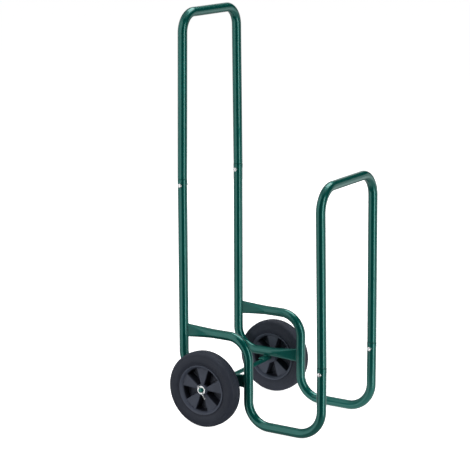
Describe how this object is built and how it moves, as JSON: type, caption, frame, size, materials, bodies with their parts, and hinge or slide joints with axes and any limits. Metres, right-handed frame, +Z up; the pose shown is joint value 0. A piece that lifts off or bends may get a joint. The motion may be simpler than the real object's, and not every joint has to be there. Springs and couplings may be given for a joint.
{
  "type": "fireside log cart",
  "caption": "Tall two-wheeled log cart of bent steel tube: high U-shaped handle, lower front hoop, floor rails and solid rubber wheels on one axle.",
  "frame": {"origin": "centre of the footprint on the floor, under the middle of the overall box", "axes": "+Z up; -Y towards the front hoop; +Y towards the handle and wheels; +X towards the left side of a person at the handle, along the axle"},
  "size_m": [0.41, 0.4468, 1.095],
  "materials": {
    "frame_paint": "glossy dark green paint",
    "zinc": "bright zinc plate",
    "tyre": "matt black rubber",
    "rim_plastic": "satin black moulded plastic"
  },
  "bodies": {
    "frame": {"handle_tube": "frame_paint", "front_hoop_tube": "frame_paint", "side_tube_right": "frame_paint", "side_tube_left": "frame_paint", "rear_post_right": "frame_paint", "rear_post_left": "frame_paint", "axle_rod": "frame_paint", "axle_plate_right": "frame_paint", "axle_plate_left": "frame_paint", "bolt_handle_right": "zinc", "bolt_handle_left": "zinc", "bolt_hoop_right": "zinc", "bolt_hoop_left": "zinc", "nut_handle_right": "zinc", "nut_handle_left": "zinc", "nut_hoop_right": "zinc", "nut_hoop_left": "zinc", "inner_washer_right": "rim_plastic", "inner_washer_left": "rim_plastic", "outer_washer_right": "zinc", "outer_washer_left": "zinc", "split_pin_right": "zinc", "split_pin_left": "zinc"},
    "right_wheel": {"tyre_right": "tyre", "rim_right": "rim_plastic"},
    "left_wheel": {"tyre_left": "tyre", "rim_left": "rim_plastic"}
  },
  "joints": [
    {"name": "right_wheel_spin", "type": "hinge", "parent": "frame", "child": "right_wheel", "pos_m": [-0.182, 0.118, 0.1025], "axis": [1, 0, 0], "continuous": true},
    {"name": "left_wheel_spin", "type": "hinge", "parent": "frame", "child": "left_wheel", "pos_m": [0.182, 0.118, 0.1025], "axis": [1, 0, 0], "continuous": true}
  ]
}
